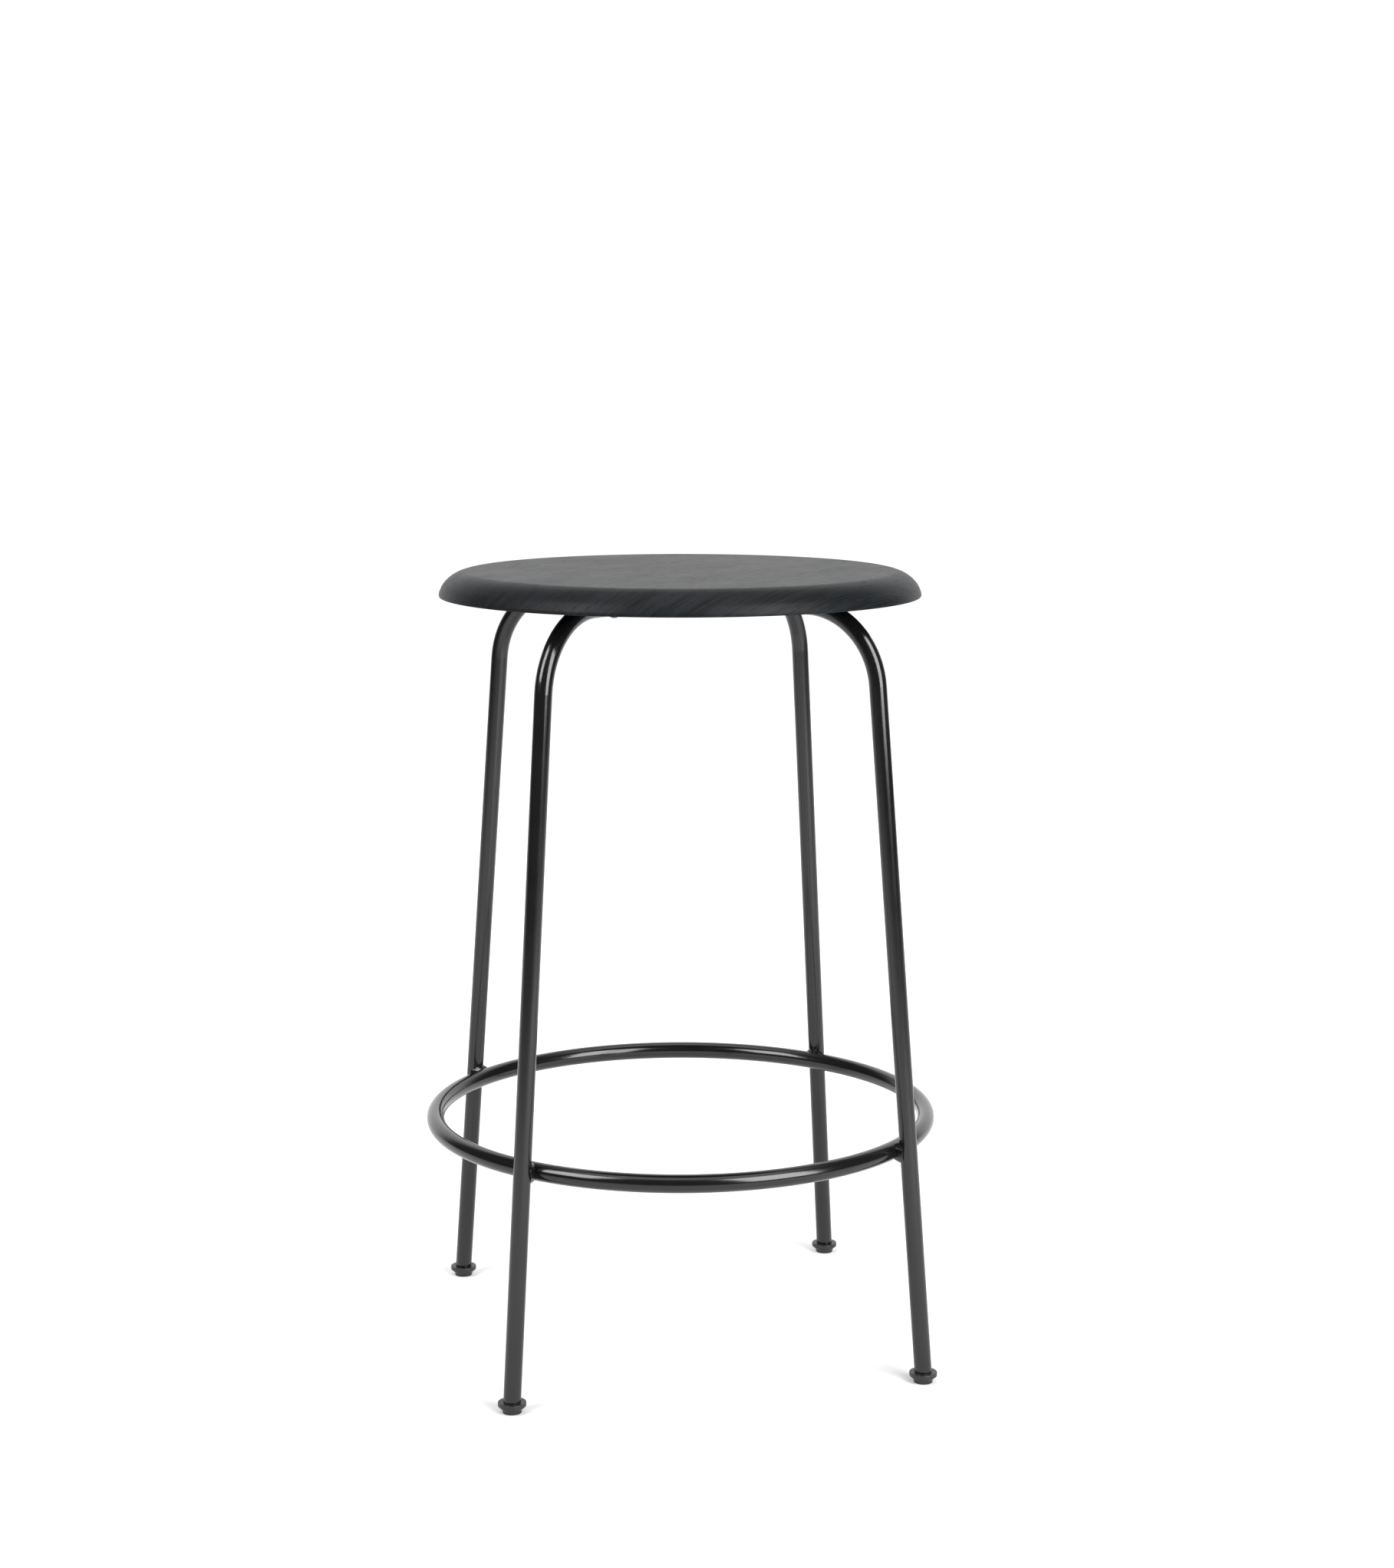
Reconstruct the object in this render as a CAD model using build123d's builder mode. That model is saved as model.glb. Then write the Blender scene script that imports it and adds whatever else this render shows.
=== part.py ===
"""A counter-height stool with a footrest, as separate pieces in millimetres.

A round wooden seat board is screwed onto four bent steel tubes. Each tube is a leg that leans out and, above
its bend, a level arm let into a groove under the seat. The arms are welded to a small hub on the centre line.
A ring of tube stands inside the legs as the footrest. Each tube ends in a ball plug with a tilting glide.

+Z is up and the origin is on the floor, on the seat's centre line. The front is towards -Y, and the legs
stand on the diagonals.
"""

import os
from math import asin, cos, degrees, isclose, radians, sin, sqrt, tan

from build123d import *

os.makedirs("parts", exist_ok=True)

# Seat board: a turned disc with a flat top, a rolled shoulder and a small lower arris
seat_top_z = 650.0
seat_widest_z = 630.3
seat_bottom_z = 629.8
seat_radius = 198.5
seat_flat_radius = 176.0
shoulder_exponent = 1.77  # of the superellipse; 2 would be a plain quarter ellipse
shoulder_points = 9

# Legs: one bent tube each
tube_diameter = 14.2
tube_wall = 1.5
leg_lean = 5.0  # degrees from upright
leg_floor_radius = 238.6  # from the centre line to where a leg's axis would meet the floor
arm_z = 626.8  # height of the arms' axes
bend_radius = 66.5
tube_end_z = 9.8  # the tubes are cut level here
leg_azimuths = {"front_right": -45.0, "back_right": 45.0, "back_left": 135.0, "front_left": 225.0}

# Footrest ring, tangent to the inner side of the legs
ring_tube_diameter = 14.7
ring_z = 189.8
weld_gap = 0.05

# Hub that joins the arms on the centre line
hub_radius = 16.0
hub_bore_radius = 5.0
hub_chamfer = 1.0

# Welds
hub_bead = 2.2  # how far a hub bead stands out from the arm it runs round
hub_bead_root = 3.0  # reach of a hub bead's section into the hub, before it is trimmed
hub_bead_step = 1.0  # by which a hub bead is lower at the hub than it is thick
hub_bead_hollow = 4.0  # radius of its concave face
ring_bead_sections = (  # distance out from the ring's axis, and half the bead's width and height there
    (2.2, 7.05, 7.05),
    (7.4, 7.3, 9.2),
    (13.4, 8.0, 10.2),
)

# Seat fixings: one screw up through each arm
screw_radius = 94.0  # from the centre line
screw_thread_diameter = 4.9
screw_head_diameter = 9.0
screw_head_height = 2.0
screw_socket_diameter = 3.4  # across the corners of the hexagon
screw_hole_diameter = 5.4
insert_diameter = 7.0
insert_bore_diameter = 5.0
insert_length = 10.0
insert_fit = 0.02  # radial room between an insert and its hole
insert_hole_spare = 1.0  # depth of the hole past the insert
screw_tip_spare = 1.0  # from a screw's tip to the insert's far end
screw_tip_chamfer = 0.6
screw_socket_share = 0.75  # socket's depth, as a share of the head's height

# Grooves and pocket under the seat
groove_width = 14.6
groove_clearance = 0.2  # between an arm's top and its groove
groove_end_radius = 158.0
pocket_radius = 21.0
pocket_clearance = 0.5  # between the hub's beads and the pocket

# Feet: a ball-ended plug in each tube, and a glide that tilts on the ball
ball_radius = 7.0
ball_z = 7.5
ball_flat_depth = 5.6  # from the ball's centre down to its flat underside
socket_clearance = 0.06
socket_depth = 6.3  # from the ball's centre down to the socket's flat floor
glide_top_z = 8.6
flange_bottom_z = 5.3
flange_radius = 11.3
flange_rounding = 0.45
glide_body_radius = 9.8
glide_body_z = 4.4  # where the rounded sole meets the upright body
glide_sole_radius = 7.5
glide_sole_bulge = 0.66  # of the rounded sole, out from its chord
plug_length = 26.0
plug_core_diameter = 10.2
plug_barbs = 4
plug_barb_start = 2.0  # above the tube's end
plug_barb_pitch = 5.0
plug_barb_land = 0.8
plug_barb_length = 3.0
plug_tip_chamfer = 1.5
plug_root = 1.5  # overlap of the shank with the ball, below the tube's end
plug_fit = 0.02  # radial room between a barb's edge and the tube's bore

# Worked out from the above
tube_radius = tube_diameter / 2
bore_radius = tube_radius - tube_wall
ring_tube_radius = ring_tube_diameter / 2
lean = radians(leg_lean)
groove_top_z = arm_z + tube_radius + groove_clearance
pocket_top_z = arm_z + tube_radius + hub_bead + pocket_clearance
ring_radius = (
    leg_floor_radius - ring_z * tan(lean) - (tube_radius + ring_tube_radius + weld_gap) / cos(lean)
)
ball_distance = leg_floor_radius - ball_z * tan(lean)


def leg_distance(z):
    """Distance of a leg's straight axis from the centre line at height z."""
    return leg_floor_radius - z * tan(lean)


def upright_plane(azimuth, distance=0.0, z=0.0):
    """Plane through the centre line: its x points outwards along azimuth and its y points up."""
    a = radians(azimuth)
    return Plane(
        origin=(distance * cos(a), distance * sin(a), z),
        x_dir=(cos(a), sin(a), 0),
        z_dir=(sin(a), -cos(a), 0),
    )


def leg_plane(azimuth, z):
    """Plane at height z on a leg's axis: its x points outwards and its y runs up along the axis."""
    a = radians(azimuth)
    distance = leg_distance(z)
    return Plane(
        origin=(distance * cos(a), distance * sin(a), z),
        x_dir=(cos(lean) * cos(a), cos(lean) * sin(a), sin(lean)),
        z_dir=(sin(a), -cos(a), 0),
    )


def local_y_axis(plane):
    return Axis(plane.origin, plane.y_dir)


# Seat board
def shoulder_point(t):
    """Point of the rolled shoulder, from the flat top (t = 0) to the widest circle (t = 90 degrees)."""
    power = 2 / shoulder_exponent
    return (
        seat_flat_radius + (seat_radius - seat_flat_radius) * sin(t) ** power,
        seat_widest_z + (seat_top_z - seat_widest_z) * cos(t) ** power,
    )


arris = seat_widest_z - seat_bottom_z

with BuildPart() as seat_board:
    with BuildSketch(Plane.XZ):
        with BuildLine():
            step = radians(90 / (shoulder_points - 1))
            shoulder = [shoulder_point(step * k) for k in range(shoulder_points)]
            Line((0, seat_bottom_z), (0, seat_top_z))
            Line((0, seat_top_z), shoulder[0])
            Spline(*shoulder, tangents=((1, 0), (0, -1)))
            RadiusArc(shoulder[-1], (seat_radius - arris, seat_bottom_z), arris)
            Line((seat_radius - arris, seat_bottom_z), (0, seat_bottom_z))
        make_face()
    revolve(axis=Axis.Z)
    # Router-cut grooves for the arms and a pocket for the hub
    with BuildSketch(Plane.XY.offset(seat_bottom_z)):
        for azimuth in leg_azimuths.values():
            with Locations(Rotation(0, 0, azimuth)):
                SlotCenterPoint((groove_end_radius / 2, 0), (groove_end_radius, 0), groove_width)
    extrude(amount=groove_top_z - seat_bottom_z, mode=Mode.SUBTRACT)
    with BuildSketch(Plane.XY.offset(seat_bottom_z)):
        Circle(pocket_radius)
    extrude(amount=pocket_top_z - seat_bottom_z, mode=Mode.SUBTRACT)
    with BuildSketch(Plane.XY.offset(groove_top_z)):
        with PolarLocations(screw_radius, 4, start_angle=45):
            Circle(insert_diameter / 2)
    extrude(amount=insert_length + insert_hole_spare, mode=Mode.SUBTRACT)

seat_board.part.label = "seat_board"
export_step(seat_board.part, "parts/seat_board.step")

# Leg tubes
for side, azimuth in leg_azimuths.items():
    knee = (leg_distance(arm_z), arm_z)
    with BuildPart() as leg_tube:
        with BuildLine(upright_plane(azimuth)):
            path = FilletPolyline((leg_floor_radius, 0), knee, (hub_radius / 2, arm_z), radius=bend_radius)
        with BuildSketch(Plane(origin=path @ 0, z_dir=path % 0)):
            Circle(tube_radius)
            Circle(bore_radius, mode=Mode.SUBTRACT)
        sweep()
        split(bisect_by=Plane.XY.offset(tube_end_z), keep=Keep.TOP)
        # Coped to the hub, and drilled for the seat screw
        with Locations((0, 0, arm_z)):
            Cylinder(hub_radius, 2 * tube_diameter, mode=Mode.SUBTRACT)
        with Locations(upright_plane(azimuth, screw_radius, arm_z).location * Rotation(90, 0, 0)):
            Cylinder(screw_hole_diameter / 2, 2 * tube_diameter, mode=Mode.SUBTRACT)

    leg_tube.part.label = f"leg_tube_{side}"
    export_step(leg_tube.part, f"parts/leg_tube_{side}.step")

# Hub: a short bored boss on the centre line
with BuildPart() as centre_hub:
    with Locations((0, 0, arm_z)):
        Cylinder(hub_radius, tube_diameter)
        Cylinder(hub_bore_radius, tube_diameter, mode=Mode.SUBTRACT)
    chamfer(centre_hub.edges().filter_by(GeomType.CIRCLE), hub_chamfer)

centre_hub.part.label = "centre_hub"
export_step(centre_hub.part, "parts/centre_hub.step")

# Hub welds: a fillet bead round each arm where it meets the hub
bead_top = tube_radius + hub_bead - hub_bead_step
bead_start = hub_radius - hub_bead_root
bead_toe = hub_radius + hub_bead
with BuildPart() as hub_welds:
    for azimuth in leg_azimuths.values():
        arm = upright_plane(azimuth, 0, arm_z)
        with BuildSketch(arm):
            with BuildLine():
                RadiusArc((hub_radius, bead_top), (bead_toe, tube_radius), -hub_bead_hollow)
                Polyline(
                    (bead_toe, tube_radius),
                    (bead_toe, 0),
                    (bead_start, 0),
                    (bead_start, bead_top),
                    (hub_radius, bead_top),
                )
            make_face()
        revolve(axis=Axis(arm.origin, arm.x_dir))
    with Locations((0, 0, arm_z)):
        Cylinder(hub_radius, 4 * tube_diameter, mode=Mode.SUBTRACT)
    for azimuth in leg_azimuths.values():
        with BuildSketch(Plane(origin=(0, 0, arm_z), z_dir=upright_plane(azimuth).x_dir)):
            Circle(tube_radius)
        extrude(amount=3 * hub_radius, mode=Mode.SUBTRACT)

hub_welds.part.label = "hub_welds"
export_step(hub_welds.part, "parts/hub_welds.step")

# Footrest: one closed ring of tube
with BuildPart() as footrest_ring:
    with BuildSketch(Plane.XZ):
        with Locations((ring_radius, ring_z)):
            Circle(ring_tube_radius)
            Circle(ring_tube_radius - tube_wall, mode=Mode.SUBTRACT)
    revolve(axis=Axis.Z)

footrest_ring.part.label = "footrest_ring"
export_step(footrest_ring.part, "parts/footrest_ring.step")

# Footrest welds: a bead round each contact, taller at the leg, less the ring and the leg that it joins
with BuildPart() as footrest_welds:
    for azimuth in leg_azimuths.values():
        contact = upright_plane(azimuth, ring_radius, ring_z)
        for distance, half_width, half_height in ring_bead_sections:
            centre = contact.from_local_coords((distance, 0, 0))
            with BuildSketch(Plane(origin=centre, x_dir=contact.z_dir, z_dir=contact.x_dir)):
                Ellipse(half_width, half_height)
        loft()
    with Locations((0, 0, ring_z)):
        Torus(ring_radius, ring_tube_radius, mode=Mode.SUBTRACT)
    for azimuth in leg_azimuths.values():
        on_axis = leg_plane(azimuth, ring_z)
        with BuildSketch(Plane(origin=on_axis.origin, z_dir=on_axis.y_dir)):
            Circle(tube_radius)
        extrude(amount=2 * tube_diameter, both=True, mode=Mode.SUBTRACT)

footrest_welds.part.label = "footrest_welds"
export_step(footrest_welds.part, "parts/footrest_welds.step")

# Seat screws: domed socket heads under the arms
arm_bottom_z = arm_z - tube_radius
screw_top_z = groove_top_z + insert_length - screw_tip_spare
head_radius = screw_head_diameter / 2
thread_radius = screw_thread_diameter / 2
dome_radius = (head_radius**2 + screw_head_height**2) / (2 * screw_head_height)
dome_angle = degrees(asin(head_radius / dome_radius))
with BuildPart() as seat_screws:
    for azimuth in leg_azimuths.values():
        shank = upright_plane(azimuth, screw_radius, 0)
        with BuildSketch(shank):
            with BuildLine():
                Polyline(
                    (head_radius, arm_bottom_z),
                    (thread_radius, arm_bottom_z),
                    (thread_radius, screw_top_z - screw_tip_chamfer),
                    (thread_radius - screw_tip_chamfer, screw_top_z),
                    (0, screw_top_z),
                    (0, arm_bottom_z - screw_head_height),
                )
                JernArc((0, arm_bottom_z - screw_head_height), (1, 0), dome_radius, dome_angle)
            make_face()
        revolve(axis=local_y_axis(shank))
    with BuildSketch(Plane.XY.offset(arm_bottom_z - screw_head_height)):
        with PolarLocations(screw_radius, 4, start_angle=45):
            RegularPolygon(screw_socket_diameter / 2, 6)
    extrude(amount=screw_socket_share * screw_head_height, mode=Mode.SUBTRACT)

seat_screws.part.label = "seat_screws"
export_step(seat_screws.part, "parts/seat_screws.step")

# Threaded inserts in the seat, one for each screw
with BuildPart() as seat_inserts:
    with BuildSketch(Plane.XY.offset(groove_top_z)):
        with PolarLocations(screw_radius, 4, start_angle=45):
            Circle(insert_diameter / 2 - insert_fit)
            Circle(insert_bore_diameter / 2, mode=Mode.SUBTRACT)
    extrude(amount=insert_length)

seat_inserts.part.label = "seat_inserts"
export_step(seat_inserts.part, "parts/seat_inserts.step")


def glide_profile():
    """Half section of a glide about its upright axis: rounded sole, flange and ball socket."""
    socket_radius = ball_radius + socket_clearance
    mouth_radius = sqrt(socket_radius**2 - (glide_top_z - ball_z) ** 2)
    floor_radius = sqrt(socket_radius**2 - socket_depth**2)
    floor_z = ball_z - socket_depth
    Line((0, 0), (glide_sole_radius, 0))
    SagittaArc((glide_sole_radius, 0), (glide_body_radius, glide_body_z), glide_sole_bulge)
    Line((glide_body_radius, glide_body_z), (glide_body_radius, flange_bottom_z))
    Line((glide_body_radius, flange_bottom_z), (flange_radius, flange_bottom_z))
    Line((flange_radius, flange_bottom_z), (flange_radius, glide_top_z))
    Line((flange_radius, glide_top_z), (mouth_radius, glide_top_z))
    ThreePointArc((mouth_radius, glide_top_z), (socket_radius, ball_z), (floor_radius, floor_z))
    Line((floor_radius, floor_z), (0, floor_z))
    Line((0, floor_z), (0, 0))


def ball_profile():
    """Half section of a plug's ball end, from its flat underside up to the tube's end."""
    flat_radius = sqrt(ball_radius**2 - ball_flat_depth**2)
    top_radius = sqrt(ball_radius**2 - (tube_end_z - ball_z) ** 2)
    Line((0, ball_z - ball_flat_depth), (flat_radius, ball_z - ball_flat_depth))
    ThreePointArc((flat_radius, ball_z - ball_flat_depth), (ball_radius, ball_z), (top_radius, tube_end_z))
    Line((top_radius, tube_end_z), (0, tube_end_z))
    Line((0, tube_end_z), (0, ball_z - ball_flat_depth))


def shank_profile():
    """Half section of a plug's barbed shank, with y along the leg from just below the tube's end."""
    core = plug_core_diameter / 2
    barb = bore_radius - plug_fit
    outline = [(0, -plug_root), (core, -plug_root)]
    for k in range(plug_barbs):
        y = plug_barb_start + k * plug_barb_pitch
        outline += [(core, y), (barb, y), (barb, y + plug_barb_land), (core, y + plug_barb_length)]
    outline += [(core, plug_length - plug_tip_chamfer), (core - plug_tip_chamfer, plug_length)]
    outline += [(0, plug_length), (0, -plug_root)]
    Polyline(*outline)


# Feet
for side, azimuth in leg_azimuths.items():
    upright = upright_plane(azimuth, ball_distance)
    inclined = leg_plane(azimuth, tube_end_z)

    with BuildPart() as foot_plug:
        with BuildSketch(inclined):
            with BuildLine():
                shank_profile()
            make_face()
        revolve(axis=local_y_axis(inclined))
        with BuildSketch(upright):
            with BuildLine():
                ball_profile()
            make_face()
        revolve(axis=local_y_axis(upright))

    foot_plug.part.label = f"foot_plug_{side}"
    export_step(foot_plug.part, f"parts/foot_plug_{side}.step")

    with BuildPart() as glide:
        with BuildSketch(upright):
            with BuildLine():
                glide_profile()
            make_face()
        revolve(axis=local_y_axis(upright))
        circles = glide.edges().filter_by(GeomType.CIRCLE)
        rims = [circle for circle in circles if isclose(circle.radius, flange_radius, rel_tol=1e-6)]
        fillet(rims, flange_rounding)

    glide.part.label = f"glide_{side}"
    export_step(glide.part, f"parts/glide_{side}.step")
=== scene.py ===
"""The stool's looks: materials, weld beads, a plain studio and the camera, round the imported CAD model.

Lengths are in metres. +Z is up, the origin is on the floor on the seat's centre line, and the front is -Y.
"""

from math import cos, pi, radians, sin, tau

import bpy
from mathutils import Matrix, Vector, noise

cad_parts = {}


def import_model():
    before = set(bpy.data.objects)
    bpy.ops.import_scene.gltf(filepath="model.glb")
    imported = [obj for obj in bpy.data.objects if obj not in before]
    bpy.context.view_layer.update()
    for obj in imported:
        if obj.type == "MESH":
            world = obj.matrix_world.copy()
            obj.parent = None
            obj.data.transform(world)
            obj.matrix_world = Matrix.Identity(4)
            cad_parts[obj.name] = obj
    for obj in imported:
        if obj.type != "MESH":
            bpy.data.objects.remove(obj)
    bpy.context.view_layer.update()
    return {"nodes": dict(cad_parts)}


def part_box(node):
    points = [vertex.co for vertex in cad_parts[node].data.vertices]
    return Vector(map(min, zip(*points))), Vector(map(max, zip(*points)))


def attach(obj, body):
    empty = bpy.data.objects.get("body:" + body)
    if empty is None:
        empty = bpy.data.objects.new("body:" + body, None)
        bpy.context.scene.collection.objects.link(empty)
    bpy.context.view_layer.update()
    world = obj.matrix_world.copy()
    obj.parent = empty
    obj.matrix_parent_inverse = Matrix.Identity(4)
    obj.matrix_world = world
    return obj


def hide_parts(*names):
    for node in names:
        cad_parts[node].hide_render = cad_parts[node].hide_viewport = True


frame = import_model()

scene = bpy.context.scene

# The legs stand on the diagonals
leg_azimuths = {"front_right": -45, "back_right": 45, "back_left": 135, "front_left": 225}

# The wood's fibres run level, from the front-left leg to the back-right one
fibre_azimuth = 45
growth_tilt = 45  # degrees by which the growth layers lean from upright

# Footrest beads: distances out from the ring tube's centre line, and half a bead's width and height there
bead_stations = (0.0022, 0.0074, 0.0134)
bead_half_widths = (0.00705, 0.0073, 0.0080)
bead_half_heights = (0.00705, 0.0092, 0.0102)
bead_rows = 12
bead_ripples = 15
bead_ripple = 0.00013  # height
steps_per_ripple = 12
ripple_lean = 0.16  # radians by which a ripple bends round the bead at its middle
lump_frequency = 2.3  # of the slow unevenness, round a circle of radius 1
lump_share = 1.6  # of the ripples' height
weld_relief = 0.00002  # added to the depth of the paint's orange peel over a weld

# Studio light, as radiance: 1 is white in the picture
studio_yaw = 11.25  # degrees, near the camera's own
sweep_light = 1.2
sweep_edges = (0.50, 0.78)  # cosines of the angle from straight behind, where it starts and is full
ceiling_light = 1.8
ceiling_edges = (0.80, 0.95)  # cosines of the angle from straight up
room_light = 0.1
backdrop_white = 1.05
softbox_distance = 2.2
softbox_aim_z = 0.55

# Floor: its glow keeps it white away from the stool
floor_half_size = 4.0
glow_behind = 0.5
glow_behind_reach = (-0.3, 1.2)  # from the stool, away from the camera
glow_seen = 0.65  # to the camera only
glow_seen_reach = (0.7, 1.6)  # from the stool, any way

# Camera: in front, a little to the left, looking slightly down
camera_place = (-0.4343, -2.2561, 0.8352)
camera_yaw = 11.242
camera_pitch = 9.0
camera_lens = 64.016  # mm
camera_sensor = 36  # mm


class Graph:
    """A material with a Principled BSDF, and short calls that add nodes to it."""

    def __init__(self, name):
        self.material = bpy.data.materials.new(name)
        self.material.use_nodes = True
        self.tree = self.material.node_tree
        self.shader = self.tree.nodes["Principled BSDF"]
        self.place = self.add("TexCoord").outputs["Object"]

    def add(self, kind, inputs=None, **settings):
        node = self.tree.nodes.new("ShaderNode" + kind)
        for name, value in settings.items():
            setattr(node, name, value)
        for name, value in (inputs or {}).items():
            self.feed(node.inputs[name], value)
        return node

    def feed(self, socket, value):
        if isinstance(value, bpy.types.NodeSocket):
            self.tree.links.new(value, socket)
        else:
            socket.default_value = value

    def set(self, **values):
        """Sets the shader's sockets, whose names are given with _ for a space."""
        for name, value in values.items():
            self.feed(self.shader.inputs[name.replace("_", " ")], value)

    def stretched(self, scale, turn=0.0, tip=0.0):
        """The object's coordinates, turned by -turn degrees about Z and by -tip about X, times scale."""
        turned = self.add("Mapping", {"Vector": self.place, "Rotation": (0, 0, -radians(turn))})
        tip_inputs = {"Vector": turned.outputs["Vector"], "Rotation": (-radians(tip), 0, 0)}
        tipped = self.add("Mapping", tip_inputs)
        scaled = self.add("Mapping", {"Vector": tipped.outputs["Vector"], "Scale": scale})
        return scaled.outputs["Vector"]

    def noise(self, vector, scale=1.0, detail=2.0, roughness=0.5, distortion=0.0):
        """Noise from 0 to 1, mostly 0.3 to 0.7, with about scale lumps to the vector's unit."""
        inputs = {"Vector": vector, "Scale": scale, "Detail": detail, "Roughness": roughness}
        return self.add("TexNoise", {**inputs, "Distortion": distortion}).outputs["Fac"]

    def span(self, value, low=0.3, high=0.7, to_low=0.0, to_high=1.0):
        """value from low..high carried to to_low..to_high, and held there outside."""
        inputs = {"Value": value, "From Min": low, "From Max": high}
        return self.add("MapRange", {**inputs, "To Min": to_low, "To Max": to_high}).outputs["Result"]

    def math(self, operation, a, b):
        return self.add("Math", {0: a, 1: b}, operation=operation).outputs["Value"]

    def vector_math(self, operation, inputs):
        return self.add("VectorMath", inputs, operation=operation).outputs["Value"]

    def blend(self, share, a, b):
        """Colour a where share is 0, and b where it is 1."""
        return self.add("Mix", {"Factor": share, 6: a, 7: b}, data_type="RGBA").outputs[2]

    def bump(self, height, distance, under=None):
        """Relief of height times distance over the normal under."""
        inputs = {"Height": height, "Distance": distance}
        if under is not None:
            inputs["Normal"] = under
        return self.add("Bump", inputs).outputs["Normal"]


def grey(level, blue=0.0):
    return (level, level * (1 + 0.5 * blue), level * (1 + blue), 1)


# Materials: noise scales are per metre, and depths of relief in metres
def stained_wood():
    """Open-grained wood stained blue-black, under a thin satin lacquer that keeps the grain's relief."""
    fibre_scale = (16, 980, 46)  # along the fibres, through the growth layers, across in a layer
    pore_scale = (55, 2400, 130)
    band_scale = (2.2, 120, 14)
    dark, pale, in_pore = grey(0.0003, 0.4), grey(0.0115, 0.4), grey(0.0008, 0.3)
    grain_depth = 0.00011
    pore_depth = 0.00007
    g = Graph("stained_wood")
    fibres = g.noise(g.stretched(fibre_scale, fibre_azimuth, growth_tilt), detail=3, roughness=0.62)
    pores = g.noise(g.stretched(pore_scale, fibre_azimuth, growth_tilt), detail=1.5, distortion=0.3)
    bands = g.noise(g.stretched(band_scale, fibre_azimuth, growth_tilt), detail=2, distortion=0.6)
    clouds = g.noise(g.stretched((14, 22, 14), fibre_azimuth), detail=3)
    pore = g.span(pores, 0.60, 0.72)
    streak = g.math("MULTIPLY", g.span(fibres, 0.34, 0.68), 0.62)
    tone = g.math("ADD", streak, g.span(bands, to_high=0.38))
    g.set(Base_Color=g.blend(pore, g.blend(tone, dark, pale), in_pore))
    satin = g.math("ADD", g.span(clouds, 0.35, 0.65, 0.385, 0.41), g.math("MULTIPLY", tone, 0.06))
    g.set(Roughness=g.math("ADD", satin, g.math("MULTIPLY", pore, 0.15)), Specular_IOR_Level=0.105)
    grain = g.bump(fibres, grain_depth)
    g.set(Normal=g.bump(g.math("SUBTRACT", 1.0, pore), pore_depth, under=grain))
    return g.material


def powder_coat(name="frame_paint", lumps=0.0):
    """Satin black powder coat: fine orange peel, a trace of texture in its gloss, faint rubbed patches."""
    peel_depth = 0.000014 + lumps
    grit_depth = 0.000002
    g = Graph(name)
    peel = g.noise(g.place, 620, detail=2, roughness=0.55)
    grit = g.noise(g.place, 3200, detail=1)
    clouds = g.noise(g.place, 26, detail=4, roughness=0.6)
    g.set(Base_Color=g.blend(g.span(clouds), grey(0.0032, 0.02), grey(0.0050, 0.04)))
    rough = g.math("ADD", g.span(clouds, to_low=0.140, to_high=0.165), g.span(peel, to_high=0.02))
    g.set(Roughness=rough, Specular_IOR_Level=0.5)
    g.set(Normal=g.bump(grit, grit_depth, under=g.bump(peel, peel_depth)))
    return g.material


def plug_plastic():
    """Polished black moulding, with a trace of flow in its gloss."""
    scuff_depth = 0.000004
    g = Graph("plug_plastic")
    flow = g.noise(g.stretched((240, 240, 90)), detail=3)
    scuff = g.noise(g.place, 1500, detail=2)
    g.set(Base_Color=g.blend(flow, grey(0.0005), grey(0.0012, 0.05)))
    g.set(Roughness=g.span(flow, to_low=0.13, to_high=0.17), Specular_IOR_Level=0.3)
    g.set(Normal=g.bump(scuff, scuff_depth))
    return g.material


def glide_nylon():
    """Black nylon with a fine spark-eroded texture, rubbed rougher and dusty near the sole."""
    rub_top, rub_full = 0.0022, 0.0002  # heights above the floor
    texture_depth = 0.000012
    g = Graph("glide_nylon")
    texture = g.noise(g.place, 2600, detail=2, roughness=0.6)
    clouds = g.noise(g.place, 160, detail=3)
    height = g.add("SeparateXYZ", {"Vector": g.place}).outputs["Z"]
    rubbed = g.span(height, rub_top, rub_full)
    body = g.blend(g.span(clouds), grey(0.0070), grey(0.0120, 0.03))
    g.set(Base_Color=g.blend(g.math("MULTIPLY", rubbed, 0.5), body, grey(0.020)))
    rough = g.math("ADD", g.span(clouds, to_low=0.38, to_high=0.44), g.math("MULTIPLY", rubbed, 0.2))
    g.set(Roughness=rough, Specular_IOR_Level=0.5, Normal=g.bump(texture, texture_depth))
    return g.material


def screw_steel():
    """Blackened steel: turned lines on the head, and bright rubbing here and there."""
    line_depth = 0.00001
    g = Graph("screw_steel")
    clouds = g.noise(g.place, 420, detail=3)
    turned = g.noise(g.stretched((900, 900, 5200)), detail=2)
    g.set(Base_Color=g.blend(g.span(clouds, 0.35, 0.75), grey(0.030, 0.05), grey(0.085, 0.04)))
    g.set(Metallic=0.85, Roughness=g.span(turned, to_low=0.28, to_high=0.42))
    g.set(Normal=g.bump(turned, line_depth))
    return g.material


def insert_brass():
    """Turned brass, dulled by handling."""
    bright, dull = (0.55, 0.38, 0.13, 1), (0.34, 0.22, 0.08, 1)
    line_depth = 0.00002
    g = Graph("insert_brass")
    clouds = g.noise(g.place, 300, detail=3)
    turned = g.noise(g.stretched((700, 700, 4200)), detail=2)
    g.set(Base_Color=g.blend(clouds, bright, dull))
    g.set(Metallic=1.0, Roughness=g.span(turned, to_low=0.25, to_high=0.45))
    g.set(Normal=g.bump(turned, line_depth))
    return g.material


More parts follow.
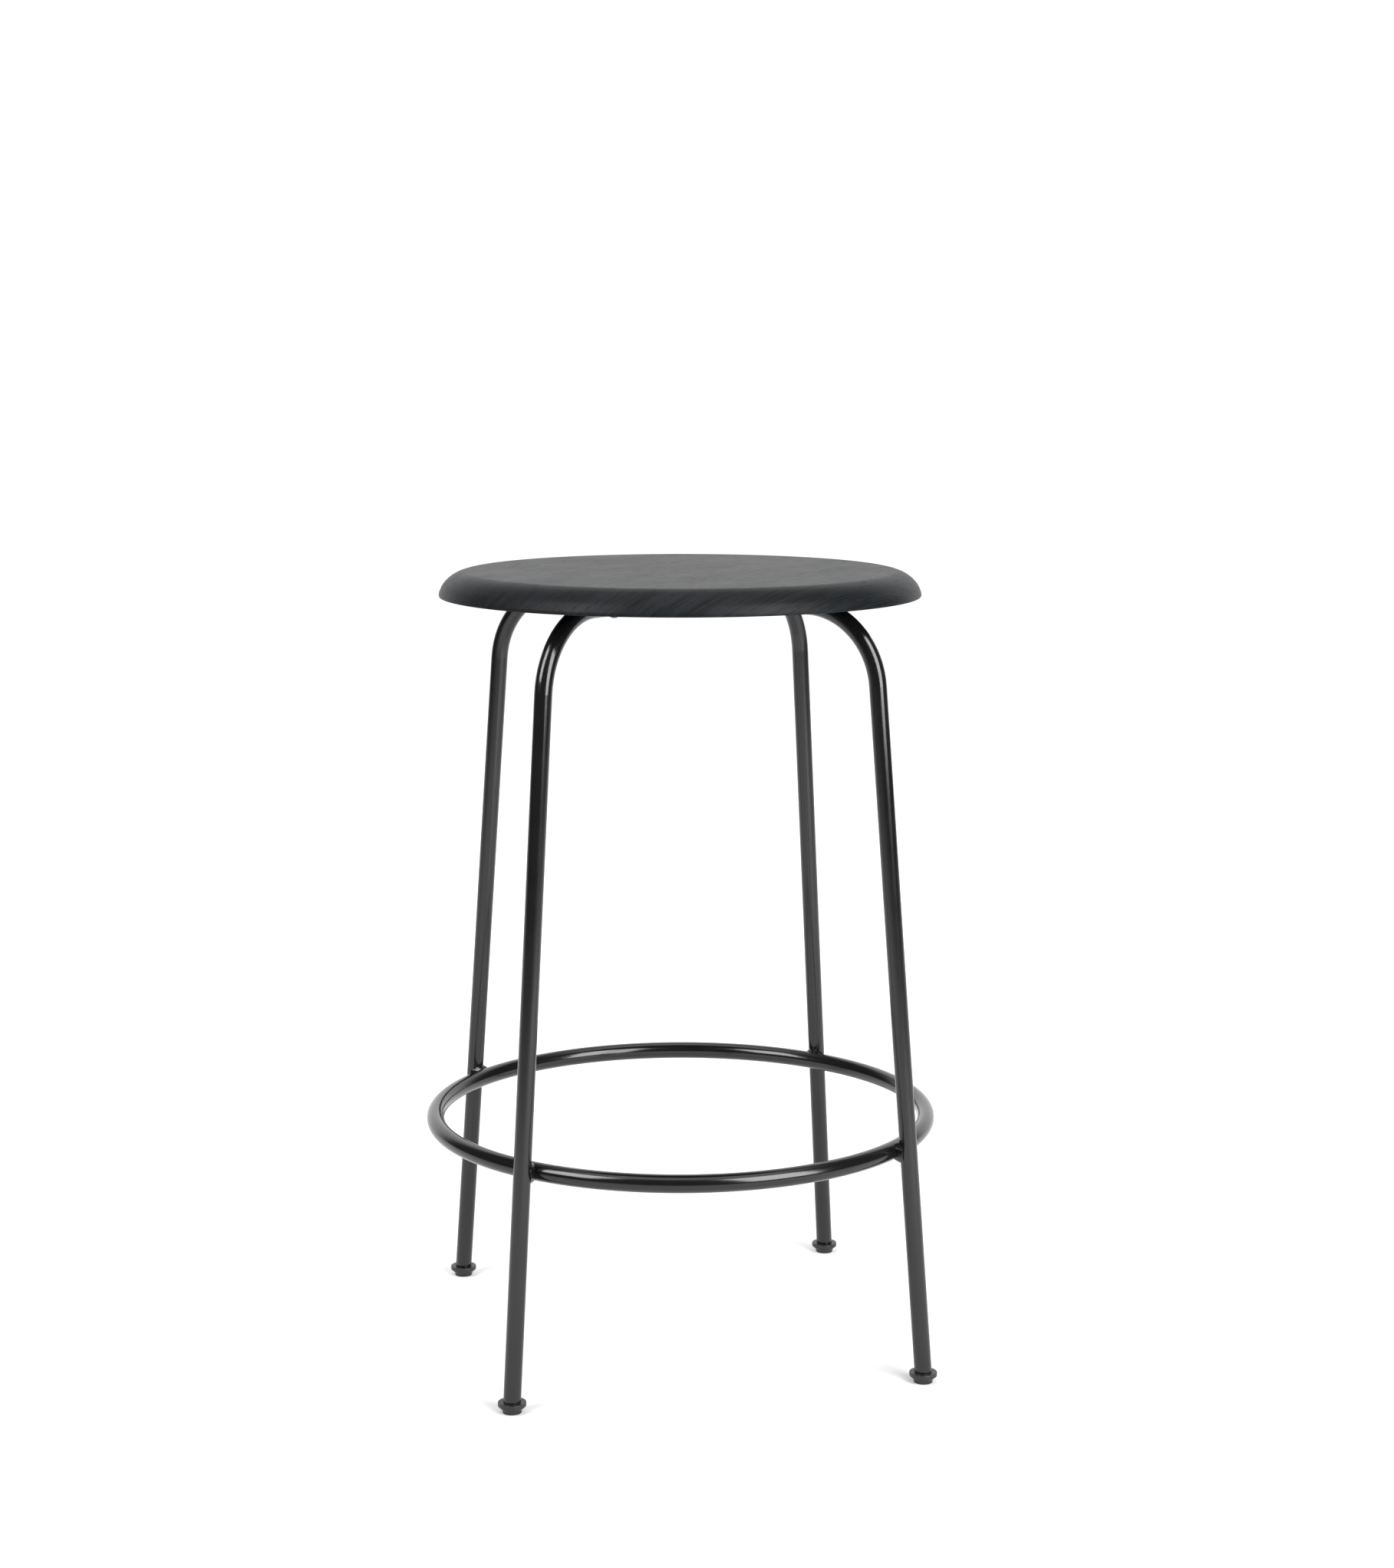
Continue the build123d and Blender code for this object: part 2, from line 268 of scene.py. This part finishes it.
# Weld beads
def rippled_rim(across, up, half_width, half_height, share, seed):
    """Offsets from the middle of one section of a bead to its skin, share of the way along the bead."""
    steps = steps_per_ripple * bead_ripples
    rim = []
    for k in range(steps):
        angle = tau * k / steps
        leaning = angle + ripple_lean * sin(pi * share)
        scale = abs(sin(leaning * bead_ripples / 2)) - 0.5
        lump = noise.noise(Vector((cos(angle), sin(angle), seed)) * lump_frequency)
        grown = sin(pi * share) * (bead_ripple * scale + lump_share * bead_ripple * lump)
        rim.append(across * cos(angle) * (half_width + grown) + up * sin(angle) * (half_height + grown))
    return rim


def closed_tube(name, rings):
    """A mesh through rings of equally many points, with a flat face at either end."""
    steps = len(rings[0])
    verts = [point for ring in rings for point in ring]
    faces = []
    for row in range(len(rings) - 1):
        here = row * steps
        for k in range(steps):
            n = (k + 1) % steps
            faces.append((here + k, here + n, here + steps + n, here + steps + k))
    faces.append(tuple(reversed(range(steps))))
    faces.append(tuple(range(len(verts) - steps, len(verts))))
    mesh = bpy.data.meshes.new(name)
    mesh.from_pydata(verts, [], faces)
    mesh.validate()
    for polygon in mesh.polygons:
        polygon.use_smooth = len(polygon.vertices) == 4
    return mesh


def weld_bead(name, contact, axis, sections, seed):
    """A painted weld round a level axis through contact. sections are (along, half width, half height)."""
    out = axis.normalized()
    across = out.cross(Vector((0, 0, 1))).normalized()
    up = across.cross(out)
    rings = []
    for row, (along, half_width, half_height) in enumerate(sections):
        share = row / (len(sections) - 1)
        rim = rippled_rim(across, up, half_width, half_height, share, seed)
        rings.append([contact + out * along + offset for offset in rim])
    piece = bpy.data.objects.new(name, closed_tube(name, rings))
    scene.collection.objects.link(piece)
    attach(piece, "stool")
    return piece


def parabola(xs, ys, x):
    """Height at x of the parabola through three points, which stand at xs and are ys high."""
    a, b, c = xs
    p, q, r = ys
    return (
        p * (x - b) * (x - c) / ((a - b) * (a - c))
        + q * (x - a) * (x - c) / ((b - a) * (b - c))
        + r * (x - a) * (x - b) / ((c - a) * (c - b))
    )


def footrest_welds(paint):
    """A rippled bead round each place where the ring meets a leg, taller at the leg."""
    low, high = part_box("footrest_ring")
    tube_radius = (high.z - low.z) / 2
    ring_radius = high.x - tube_radius
    ring_z = (high.z + low.z) / 2
    sections = []
    for k in range(bead_rows + 1):
        along = bead_stations[0] + (bead_stations[-1] - bead_stations[0]) * k / bead_rows
        half_width = parabola(bead_stations, bead_half_widths, along)
        sections.append((along, half_width, parabola(bead_stations, bead_half_heights, along)))
    for seed, (side, azimuth) in enumerate(leg_azimuths.items()):
        out = Vector((cos(radians(azimuth)), sin(radians(azimuth)), 0))
        contact = out * ring_radius + Vector((0, 0, ring_z))
        bead = weld_bead(f"footrest_weld_{side}", contact, out, sections, seed)
        bead.data.materials.append(paint)
        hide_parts("footrest_welds")


wood = stained_wood()
paint = powder_coat()
weld_paint = powder_coat("weld_paint", lumps=weld_relief)
plastic = plug_plastic()
nylon = glide_nylon()
steel = screw_steel()
brass = insert_brass()

finishes = {
    "seat_board": wood,
    "seat_inserts": brass,
    "seat_screws": steel,
    "centre_hub": paint,
    "hub_welds": weld_paint,
    "footrest_ring": paint,
}
for side in leg_azimuths:
    finishes[f"leg_tube_{side}"] = paint
    finishes[f"foot_plug_{side}"] = plastic
    finishes[f"glide_{side}"] = nylon
for node, finish in finishes.items():
    frame["nodes"][node].data.materials.clear()
    frame["nodes"][node].data.materials.append(finish)

footrest_welds(weld_paint)


# Studio
def from_camera(right, away, height):
    """A point right of the stool's axis and away beyond it, as the camera sees them, and its height."""
    yaw = radians(studio_yaw)
    return (right * cos(yaw) + away * sin(yaw), -right * sin(yaw) + away * cos(yaw), height)


def floor():
    """A wide white floor, seen only from above."""
    mesh = bpy.data.meshes.new("floor")
    half = floor_half_size
    corners = [(-half, -half, 0), (half, -half, 0), (half, half, 0), (-half, half, 0)]
    mesh.from_pydata(corners, [], [(0, 1, 2, 3)])
    piece = bpy.data.objects.new("floor", mesh)
    scene.collection.objects.link(piece)
    g = Graph("floor")
    dust = g.noise(g.place, 40, detail=4)
    g.set(Base_Color=g.blend(dust, grey(0.69), grey(0.71)), Roughness=0.9, Specular_IOR_Level=0.1)
    away = g.vector_math("DOT_PRODUCT", {0: g.place, 1: from_camera(0, 1, 0)})
    behind = g.span(away, *glow_behind_reach, to_high=glow_behind)
    seen = g.add("LightPath").outputs["Is Camera Ray"]
    around = g.span(g.vector_math("LENGTH", {0: g.place}), *glow_seen_reach, to_high=glow_seen)
    glow = g.math("MAXIMUM", behind, g.math("MULTIPLY", seen, around))
    g.set(Emission_Color=grey(1.0), Emission_Strength=glow)
    clear = g.add("BsdfTransparent").outputs["BSDF"]
    below = g.add("NewGeometry").outputs["Backfacing"]
    shown = g.add("MixShader", {"Fac": below, 1: g.shader.outputs["BSDF"], 2: clear})
    g.feed(g.tree.nodes["Material Output"].inputs["Surface"], shown.outputs["Shader"])
    mesh.materials.append(g.material)


def world():
    """White to the camera. The stool reflects a dark room with a white sweep behind and a pale ceiling."""
    sky = bpy.data.worlds.new("studio")
    sky.use_nodes = True
    tree = sky.node_tree
    tree.nodes.clear()
    add, link = tree.nodes.new, tree.links.new
    place = add("ShaderNodeTexCoord")

    def ramp(direction, edges, level):
        """level where the angle to direction has a cosine over edges[1], and nothing under edges[0]."""
        dot = add("ShaderNodeVectorMath")
        dot.operation = "DOT_PRODUCT"
        link(place.outputs["Generated"], dot.inputs[0])
        dot.inputs[1].default_value = direction
        span = add("ShaderNodeMapRange")
        span.interpolation_type = "SMOOTHSTEP"
        link(dot.outputs["Value"], span.inputs["Value"])
        for name, value in (("From Min", edges[0]), ("From Max", edges[1]), ("To Max", level)):
            span.inputs[name].default_value = value
        return span.outputs["Result"]

    def backdrop():
        node = add("ShaderNodeBackground")
        node.inputs["Color"].default_value = grey(1.0)
        return node

    both = add("ShaderNodeMath")
    link(ramp(from_camera(0, 1, 0), sweep_edges, sweep_light), both.inputs[0])
    link(ramp((0, 0, 1), ceiling_edges, ceiling_light), both.inputs[1])
    total = add("ShaderNodeMath")
    link(both.outputs["Value"], total.inputs[0])
    total.inputs[1].default_value = room_light
    light = backdrop()
    link(total.outputs["Value"], light.inputs["Strength"])
    seen = backdrop()
    seen.inputs["Strength"].default_value = backdrop_white
    path = add("ShaderNodeLightPath")
    mix = add("ShaderNodeMixShader")
    link(path.outputs["Is Camera Ray"], mix.inputs["Fac"])
    link(light.outputs["Background"], mix.inputs[1])
    link(seen.outputs["Background"], mix.inputs[2])
    link(mix.outputs["Shader"], add("ShaderNodeOutputWorld").inputs["Surface"])
    scene.world = sky


def softbox(name, azimuth, elevation, size, radiance):
    """A rectangular light, hidden from the camera, at azimuth degrees round to the camera's right."""
    aim = Vector((0, 0, softbox_aim_z))
    turn, rise = radians(azimuth), radians(elevation)
    across = softbox_distance * cos(rise)
    height = softbox_distance * sin(rise)
    place = aim + Vector(from_camera(across * sin(turn), -across * cos(turn), height))
    light = bpy.data.lights.new(name, "AREA")
    light.shape = "RECTANGLE"
    light.size, light.size_y = size
    light.energy = radiance * pi * size[0] * size[1]
    box = bpy.data.objects.new(name, light)
    box.location = place
    box.rotation_mode = "QUATERNION"
    box.rotation_quaternion = (aim - place).to_track_quat("-Z", "Y")
    box.visible_camera = False
    scene.collection.objects.link(box)


def camera():
    lens = bpy.data.cameras.new("camera")
    lens.sensor_width = camera_sensor
    lens.lens = camera_lens
    eye = bpy.data.objects.new("camera", lens)
    eye.location = camera_place
    eye.rotation_mode = "XYZ"
    eye.rotation_euler = (pi / 2 - radians(camera_pitch), 0, -radians(camera_yaw))
    scene.collection.objects.link(eye)
    scene.camera = eye


floor()
world()
softbox("softbox_right", azimuth=44.5, elevation=24, size=(1.36, 2.05), radiance=10.8)
softbox("softbox_left", azimuth=-54, elevation=33.5, size=(1.1, 1.4), radiance=10.5)
camera()
scene.view_settings.view_transform = "Standard"
